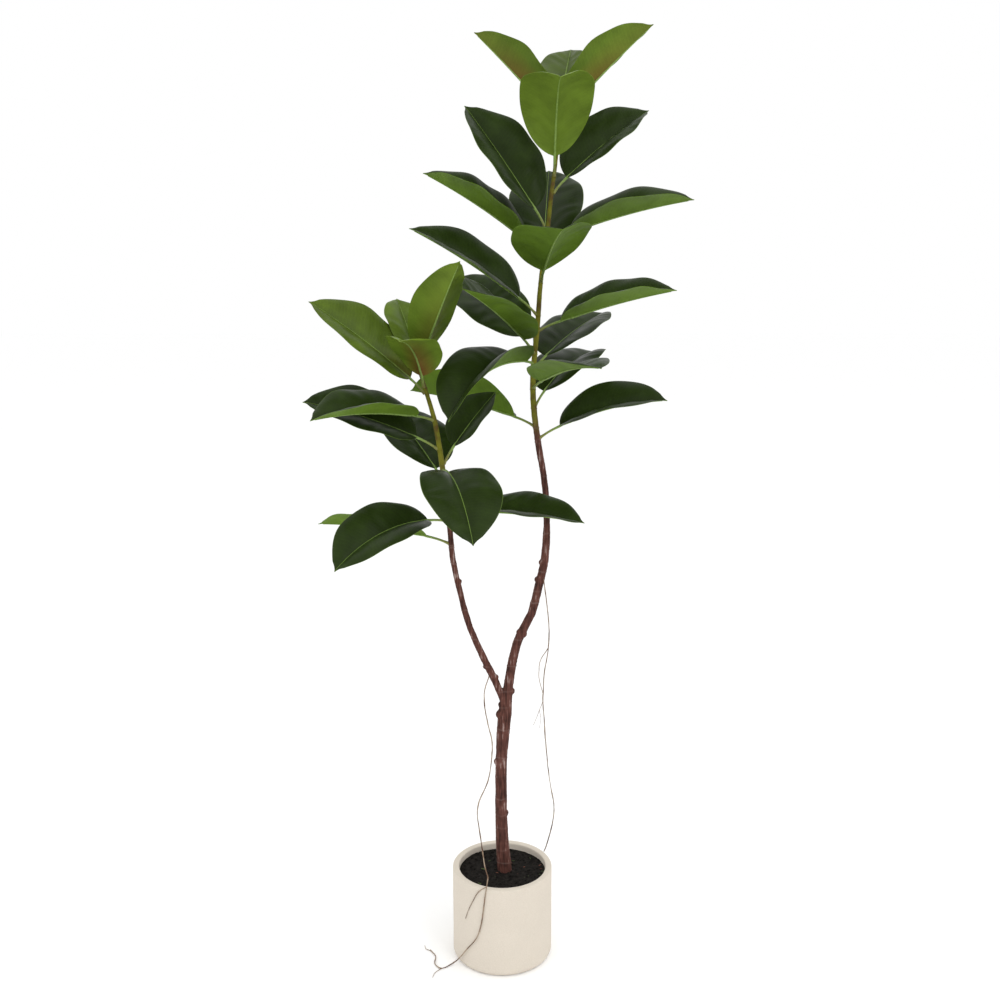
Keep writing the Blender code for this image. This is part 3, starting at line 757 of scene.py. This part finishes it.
def build_blade(name, plan, run, settings, finishes, draw):
    """One blade from a flat grid: folded along its midrib, crowned, rippled and waved at its edge."""
    deselect()
    bpy.ops.mesh.primitive_grid_add(x_subdivisions=GRID_ACROSS, y_subdivisions=GRID_ALONG, size=2.0,
                                    location=(0, 0, 0))
    blade = bpy.context.object
    blade.name = name
    for finish in finishes:
        blade.data.materials.append(finish)
    flat = points_of(blade.data)
    u = flat[:, 0]
    spread = (flat[:, 1] + 1) / 2
    t = 0.72 * spread + 0.28 * (0.5 - 0.5 * np.cos(np.pi * spread))
    s = np.sign(u) * np.abs(u) ** 1.3
    middle = through(plan.stations, plan.middle, t)
    right = unit(through(plan.stations, plan.right, t))
    left = unit(through(plan.stations, plan.left, t))
    up = unit(right + left)
    half = np.maximum(plan.half_width * outline(t), np.where(t < 0.5, 0.0014, 0.00025))
    out = np.abs(s) * half
    # The two halves meet at the midrib, each running out along its own edge's way
    across = np.where(s[:, None] >= 0, right, left)
    points = middle + across * out[:, None]

    phase = [draw.uniform(0, 1) for _ in range(6)]
    side = np.where(s >= 0, 0, 1)
    turns = 2.0 + phase[0]
    swing = np.sin(2 * np.pi * (turns * t + np.where(side, phase[1], phase[2])))
    body = np.clip(t * 6, 0, 1) * np.clip((1 - t) * 8, 0, 1)
    rise = settings.wave * swing * np.abs(s) ** 2.2 * body
    rise += half * 0.075 * (1 - (2 * np.abs(s) - 1) ** 2) * np.clip(np.abs(s) * 6, 0, 1)
    rise -= half * 0.03 * np.abs(s) ** 5
    slow = bumpy(points, 18)
    cross = (t * run - 0.45 * out) / 0.031 + np.where(side, phase[3], phase[4]) + 1.1 * slow
    rise += settings.ripple * np.sin(2 * np.pi * cross) * (4 * np.abs(s) * (1 - np.abs(s))) ** 0.7 * body
    rise += 0.0012 * slow * np.abs(s) ** 0.5 * body
    rise -= 0.0005 * np.exp(-(out / 0.0011) ** 2) * np.clip((1 - t) * 5, 0, 1)
    set_points(blade.data, points + up * rise[:, None])

    mesh = blade.data
    put_attribute(mesh, "across", s * half)
    put_attribute(mesh, "along", t * run)
    put_attribute(mesh, "edge", np.abs(s))
    put_attribute(mesh, "station", t)
    facing = sum(poly.normal.dot(Vector(up[poly.vertices[0]])) for poly in mesh.polygons)
    if facing < 0:
        mesh.flip_normals()
    margin = blade.vertex_groups.new(name="thickness")
    thick = 1 - 0.55 * np.clip((np.abs(s) - 0.9) / 0.1, 0, 1)
    for i, weight in enumerate(thick):
        margin.add([i], float(weight), "REPLACE")
    wall = blade.modifiers.new("thickness", "SOLIDIFY")
    wall.thickness = settings.thickness
    wall.offset = -1.0
    wall.vertex_group = "thickness"
    wall.material_offset = 1
    wall.material_offset_rim = 1
    apply_all(blade)
    blade.vertex_groups.clear()
    return blade


def build_stalk(name, plan, run, settings):
    """The leaf's round stalk from inside the stem, running on under the blade as its midrib."""
    stalk = plan.stalk[::-1]
    foot = stalk[0] - unit(stalk[1] - stalk[0]) * 0.0025
    rows = np.vstack([foot, stalk])
    steps = runs(rows)
    stalk_run = steps[-1]
    at = np.linspace(0, stalk_run, 16)
    places = list(through(steps, rows, at))
    # A stalk 3.8 mm thick, swollen where it leaves the stem and a little where it meets the blade
    radii = list(0.0019 + 0.0009 * np.exp(-(at / 0.006) ** 2)
                 + 0.0002 * np.exp(-((stalk_run - at) / 0.006) ** 2))
    stations = [(d - stalk_run) / run for d in at]
    t = np.linspace(0.03, 0.955, 26)
    middle = through(plan.stations, plan.middle, t)
    up = unit(unit(through(plan.stations, plan.right, t)) + unit(through(plan.stations, plan.left, t)))
    rib = 0.0003 + 0.0015 * (1 - t) ** 0.9
    drop = settings.thickness * 0.9 + rib * 0.25
    ease = np.clip((t - 0.03) / 0.06, 0, 1)
    places += list(middle - up * (drop * ease + 0.0004)[:, None])
    radii += list(rib)
    stations += list(t)
    obj = tube(name, places, radii)
    # Each point reads its station from the nearest place of the stalk
    near = np.argmin(np.linalg.norm(points_of(obj.data)[:, None] - np.array(places), axis=2), axis=1)
    put_attribute(obj.data, "station", np.array(stations)[near])
    return obj


class PLANT_OT_leaves(Operator):
    """Builds every leaf of both stems: a folded waxy blade, its stalk and its midrib"""
    bl_idname = "plant.leaves"
    bl_label = "Leaves"

    def execute(self, context):
        settings = context.scene.plant_leaves
        old = [upper_material("waxy_leaf_upper", settings.upper, settings, False),
               under_material("matt_leaf_underside", settings.under, False),
               stalk_material("green_leaf_stalk", settings, "#7A6A3A")]
        new = [upper_material("young_leaf_upper", settings.young, settings, True),
               under_material("young_leaf_underside", shade(settings.young, 0.95)[:3], True),
               stalk_material("red_leaf_stalk", settings, "#6B3426")]
        for number, node in enumerate(LEAF_NODES):
            draw = random.Random(500 + number)
            plan, run = read_leaf(node)
            finishes = new if node in YOUNG_LEAVES else old
            blade = build_blade(node.replace("_stem_", "_"), plan, run, settings, finishes, draw)
            stalk = build_stalk(node + "_stalk", plan, run, settings)
            stalk.data.materials.append(finishes[2])
            join(blade, [stalk])
            flush, tone = YOUNG_LEAVES.get(node, (0.0, draw.uniform(0.90, 1.12)))
            put_attribute(blade.data, "tone", np.full(len(blade.data.vertices), tone))
            put_attribute(blade.data, "flush", np.full(len(blade.data.vertices), flush))
            finish_piece(blade, node, angle=60)
        return {"FINISHED"}


# ---------------------------------------------------------------- stem

FORK_HEIGHT = 0.475  # above it, the short stem's points are the ones at the left
LOWEST_SCAR = 0.165
HIGHEST_SCAR = 0.93


def leaf_feet():
    """Where each leaf's stalk meets its stem, and whether that is the short one."""
    return [(read_leaf(node)[0].stalk[-1], node.startswith("short")) for node in LEAF_NODES]


class PLANT_OT_stem(Operator):
    """Builds the forked woody stem: wrinkled bark with knots and old leaf scars, green at its ends"""
    bl_idname = "plant.stem"
    bl_label = "Stem"

    def execute(self, context):
        settings = context.scene.plant_stem
        stem = cad_copy("trunk", "woody_stem")
        pick(stem)
        remesh = stem.modifiers.new("cells", "REMESH")
        remesh.mode = "VOXEL"
        remesh.voxel_size = settings.voxel
        smooth = stem.modifiers.new("smooth", "SMOOTH")
        smooth.factor = 0.5
        smooth.iterations = 9
        apply_all(stem)
        points = points_of(stem.data)
        normals = normals_of(stem.data)
        height = points[:, 2]
        short = (height > FORK_HEIGHT) & (points[:, 0] < 0.002)
        # The bark turns green over 90 mm of the short stem and over 50 mm of the tall one
        shoot = np.clip(np.where(short, (height - 0.80) / 0.09, (height - 0.895) / 0.05), 0, 1)
        shoot = shoot * shoot * (3 - 2 * shoot)
        scar = np.zeros(len(points))
        draw = random.Random(7)
        level = LOWEST_SCAR
        while level < HIGHEST_SCAR:
            tilt_x, tilt_y = draw.uniform(-0.35, 0.35), draw.uniform(-0.35, 0.35)
            strength = draw.uniform(0.35, 1.0)
            gap = height - level - tilt_x * points[:, 0] * 0.5 - tilt_y * points[:, 1]
            scar = np.maximum(scar, strength * np.exp(-(gap / 0.0011) ** 2) * (1 - shoot))
            level += draw.uniform(0.022, 0.060)
        for foot, on_short in leaf_feet():
            gap = height - (foot[2] - 0.0035)
            scar = np.maximum(scar, (short == on_short) * np.exp(-(gap / 0.0010) ** 2))
        # Wrinkles 3 mm apart that run lengthways, fine creases, and broad swellings of 14 mm
        push = 0.75 * bumpy(points, 330, 26) + 0.5 * bumpy(points, 600, 240) + 0.9 * bumpy(points, 70, 45)
        patch = 0.5 + bumpy(points, 110, 75, 9)
        depth = settings.wrinkle * (1 - 0.72 * shoot)
        lift = settings.scar * scar * (0.4 + 0.6 * np.clip(patch * 1.6, 0, 1))
        points += normals * (depth * push + lift)[:, None]
        set_points(stem.data, points)
        put_attribute(stem.data, "shoot", shoot)
        put_attribute(stem.data, "scar", scar * np.clip(patch * 1.5, 0.15, 1))
        stem.data.materials.append(bark_material(settings))
        finish_piece(stem, "trunk")
        return {"FINISHED"}


# ---------------------------------------------------------------- roots

ROOTLET_PLACES = 40
HANG_HEIGHT = 0.553  # where the tall stem's root branches
# The free branch, as steps from where it starts
HANG_DROPS = ((0, 0, 0), (-0.013, -0.004, -0.020), (-0.015, -0.006, -0.045), (-0.009, -0.007, -0.092),
              (-0.014, -0.006, -0.107), (-0.024, -0.005, -0.134))
# The branch on the pot's wall: how far round it has turned, in radians, and how far under the rim it is
WALL_STEPS = ((-0.11, 0.002), (-0.31, 0.030), (-0.40, 0.046), (-0.49, 0.066))


def strayed(points, amount):
    """Points moved off a smooth line by a slow wander, the same for points that lie close together."""
    moved = points.copy()
    for i, place in enumerate(points):
        # Bends 36 mm apart with crinkles of 8 mm on them
        slow, quick = (np.array(noise.noise_vector(Vector(place * scale))) for scale in (28, 120))
        moved[i] += amount * (slow + 0.35 * quick)
    return moved


def rootlet(name, places, thick, thin, stray):
    """A thin side branch of a root that tapers to its end."""
    rows = np.array(places)
    steps = runs(rows)
    line = strayed(through(steps, rows, np.linspace(0, steps[-1], ROOTLET_PLACES)), stray)
    return tube(name, line, list(np.linspace(thick, thin, ROOTLET_PLACES)), sides=1)


def root_at(points, height):
    """The middle of a root at a height."""
    return points[np.abs(points[:, 2] - height) < 0.009].mean(axis=0)


def tall_rootlets(points):
    """The side branch of the tall stem's root, which hangs free beside it."""
    branch = root_at(points, HANG_HEIGHT) + np.array(HANG_DROPS)
    fork = branch[4] + np.array(((0, 0, 0), (0.002, -0.003, -0.014), (0.0, -0.004, -0.030)))
    return [rootlet("hanging_rootlet", branch, 0.0007, 0.0003, 0.0012),
            rootlet("hanging_rootlet_fork", fork, 0.0004, 0.0002, 0.0006)]


def short_rootlets(points, radius, rim):
    """The side branches of the short stem's root: one down the pot's wall and two on the floor."""
    foot = root_at(points, rim + 0.006)
    turn = math.atan2(foot[1], foot[0])
    out = radius + 0.0012
    wall = [foot] + [(out * math.cos(turn + swing), out * math.sin(turn + swing), rim - drop)
                     for swing, drop in WALL_STEPS]
    floor = points[points[:, 2] < 0.006]
    end = floor[np.argmin(floor[:, 0])]
    bend = floor[np.argmin(np.abs(floor[:, 0] - end[0] - 0.022))]
    near = np.array((*bend[:2], 0.0011)) + ((0, 0, 0), (-0.010, -0.012, -0.0002), (-0.013, -0.024, -0.0004))
    far = np.array((*end[:2], 0.0011)) + ((0, 0, 0), (-0.007, 0.005, -0.0002), (-0.010, 0.016, -0.0004))
    return [rootlet("wall_rootlet", wall, 0.0008, 0.0004, 0.0),
            rootlet("floor_rootlet_near", near, 0.0006, 0.0003, 0.0),
            rootlet("floor_rootlet_end", far, 0.0006, 0.0003, 0.0)]


class PLANT_OT_roots(Operator):
    """Builds the two thin aerial roots that hang from the stem, with their side branches"""
    bl_idname = "plant.roots"
    bl_label = "Aerial roots"

    def execute(self, context):
        settings = context.scene.plant_roots
        skin = root_material(settings)
        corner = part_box("pot")[1]
        radius, rim = corner.x, corner.z
        for node, name in (("short_stem_root", "short_aerial_root"), ("tall_stem_root", "tall_aerial_root")):
            root = cad_copy(node, name)
            fine = root.modifiers.new("fine", "SUBSURF")
            fine.levels = fine.render_levels = 1
            apply_all(root)
            points = points_of(root.data)
            normals = normals_of(root.data)
            points += normals * (0.00035 * bumpy(points, 90) - 0.0001)[:, None]
            out = np.hypot(points[:, 0], points[:, 1])
            # A root on the pot's wall or on the floor stays where it lies
            free = np.clip((out - radius - 0.004) / 0.01, 0, 1) * np.clip((points[:, 2] - 0.01) / 0.03, 0, 1)
            free = np.maximum(free, np.clip((points[:, 2] - rim - 0.02) / 0.05, 0, 1))
            points += (strayed(points, settings.wander) - points) * free[:, None]
            set_points(root.data, points)
            on_pot = node == "short_stem_root"
            join(root, short_rootlets(points, radius, rim) if on_pot else tall_rootlets(points))
            root.data.materials.append(skin)
            finish_piece(root, node)
        return {"FINISHED"}


# ---------------------------------------------------------------- stage

# Each softbox has its name, place, size in metres and power in watts
SOFTBOXES = (("key_softbox", (1.9, -2.3, 2.6), 1.6, 26.0),
             ("fill_softbox", (-2.4, -1.8, 1.6), 2.2, 10.0),
             ("top_softbox", (0.3, -0.4, 3.4), 3.0, 12.0))
LIGHTS_AIM = Vector((0.0, 0.0, 0.8))
CAMERA_PLACE = (-0.004, -1.75, 1.156)
CAMERA_DOWN = 11.5  # degrees that the camera looks down


class PLANT_OT_stage(Operator):
    """Sets the plain pale floor, the soft studio lights and the camera"""
    bl_idname = "plant.stage"
    bl_label = "Studio"

    def execute(self, context):
        settings = context.scene.plant_stage
        deselect()
        bpy.ops.mesh.primitive_plane_add(size=40.0, location=(0, 0, 0))
        floor = context.object
        floor.name = "studio_floor"
        place_in_mesh(floor)
        floor.data.materials.append(floor_material(settings))

        world = bpy.data.worlds.new("white_surround")
        world.use_nodes = True
        tree = world.node_tree
        feed(tree, tree.nodes["Background"], {"Color": (1.0, 1.0, 1.0, 1.0), "Strength": settings.sky})
        context.scene.world = world

        for name, place, size, power in SOFTBOXES:
            bpy.ops.object.light_add(type="AREA", location=place)
            light = context.object
            light.name = name
            light.data.size = size
            light.data.energy = power
            light.rotation_euler = (LIGHTS_AIM - Vector(place)).to_track_quat("-Z", "Y").to_euler()

        bpy.ops.object.camera_add(location=CAMERA_PLACE, rotation=(math.radians(90 - CAMERA_DOWN), 0, 0))
        camera = context.object
        camera.data.lens = 40.0
        camera.data.sensor_width = 36.0
        camera.data.clip_end = 60.0
        context.scene.camera = camera
        context.scene.view_settings.view_transform = "Standard"
        return {"FINISHED"}


# ---------------------------------------------------------------- panel and registration

BUILDERS = (PLANT_OT_pot, PLANT_OT_soil, PLANT_OT_stem, PLANT_OT_leaves, PLANT_OT_roots, PLANT_OT_stage)


class PLANT_PT_panel(Panel):
    """Lists the steps that build the plant, and their sizes and colours"""
    bl_label = "Potted Rubber Plant"
    bl_idname = "PLANT_PT_panel"
    bl_space_type = "VIEW_3D"
    bl_region_type = "UI"
    bl_category = "Rubber Plant"

    def draw(self, context):
        for builder, group in zip(BUILDERS, GROUPS):
            box = self.layout.box()
            box.operator(builder.bl_idname)
            settings = getattr(context.scene, group)
            for name in settings.bl_rna.properties.keys():
                if name not in {"rna_type", "name"}:
                    box.prop(settings, name)


GROUPS = {"plant_pot": ClayPotSettings, "plant_soil": SoilSettings, "plant_stem": StemSettings,
          "plant_leaves": LeafSettings, "plant_roots": RootSettings, "plant_stage": StageSettings}
CLASSES = tuple(GROUPS.values()) + BUILDERS + (PLANT_PT_panel,)


def register():
    for cls in CLASSES:
        bpy.utils.register_class(cls)
    for group, cls in GROUPS.items():
        setattr(bpy.types.Scene, group, PointerProperty(type=cls))


def unregister():
    for group in GROUPS:
        delattr(bpy.types.Scene, group)
    for cls in reversed(CLASSES):
        bpy.utils.unregister_class(cls)


def main():
    register()
    bpy.ops.plant.stage()
    bpy.ops.plant.pot()
    bpy.ops.plant.soil()
    bpy.ops.plant.stem()
    bpy.ops.plant.leaves()
    bpy.ops.plant.roots()
    bpy.context.view_layer.update()


if __name__ == "__main__":
    main()
